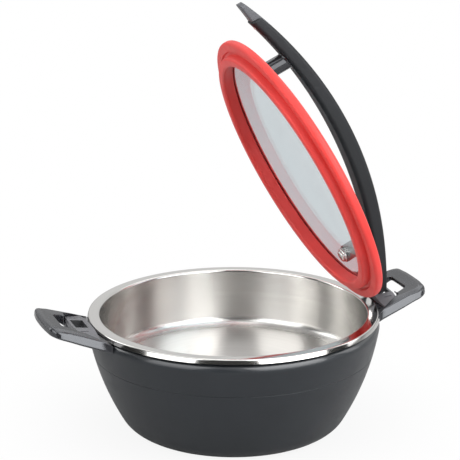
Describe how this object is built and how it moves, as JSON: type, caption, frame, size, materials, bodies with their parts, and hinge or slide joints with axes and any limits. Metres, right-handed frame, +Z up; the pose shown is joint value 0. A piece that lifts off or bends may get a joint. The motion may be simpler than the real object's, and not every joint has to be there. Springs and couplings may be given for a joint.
{
  "type": "chafing dish",
  "caption": "Round insulated serving dish with a steel pot, loop handles and a domed glass lid in a red seal that swings up on a rear hinge under an arched arm.",
  "frame": {"origin": "centre of the foot ring, on the table", "axes": "+Z up, +X from the bowl's axis to the hinge, +Y along the hinge pin"},
  "size_m": [0.359, 0.263, 0.3858],
  "materials": {
    "bowl_black": "satin",
    "pot_steel": "satin",
    "dark_rubber": "matte",
    "foam": "matte",
    "handle_black": "satin",
    "keeper_grey": "satin",
    "screw_steel": "polished",
    "washer_white": "matte",
    "lid_glass": "polished",
    "red_silicone": "satin",
    "arm_charcoal": "satin",
    "bush_brass": "satin",
    "post_black": "gloss"
  },
  "bodies": {
    "dish": {"outer_bowl": "bowl_black", "inner_pot": "pot_steel", "rim_gasket": "dark_rubber", "insulation_core": "foam", "base_plug": "bowl_black", "foot_ring": "dark_rubber", "front_handle": "handle_black", "rear_handle": "handle_black", "handle_screws": "screw_steel", "front_keeper": "keeper_grey", "rear_keeper": "keeper_grey", "keeper_screws": "screw_steel", "hinge_pin": "screw_steel", "hinge_clip": "screw_steel", "hinge_washers": "washer_white"},
    "lid": {"lid_glass": "lid_glass", "lid_seal": "red_silicone", "lid_arm": "arm_charcoal", "hinge_bush": "bush_brass", "thumb_tab": "handle_black", "tab_screw": "screw_steel", "front_post": "post_black", "rear_post": "post_black", "post_gaskets": "dark_rubber", "screw_washers": "screw_steel", "post_screws": "screw_steel"}
  },
  "joints": [
    {"name": "lid_hinge", "type": "hinge", "parent": "dish", "child": "lid", "pos_m": [0.1265, 0, 0.1225], "axis": [0, 1, 0], "range_deg": [-64, 0]}
  ]
}
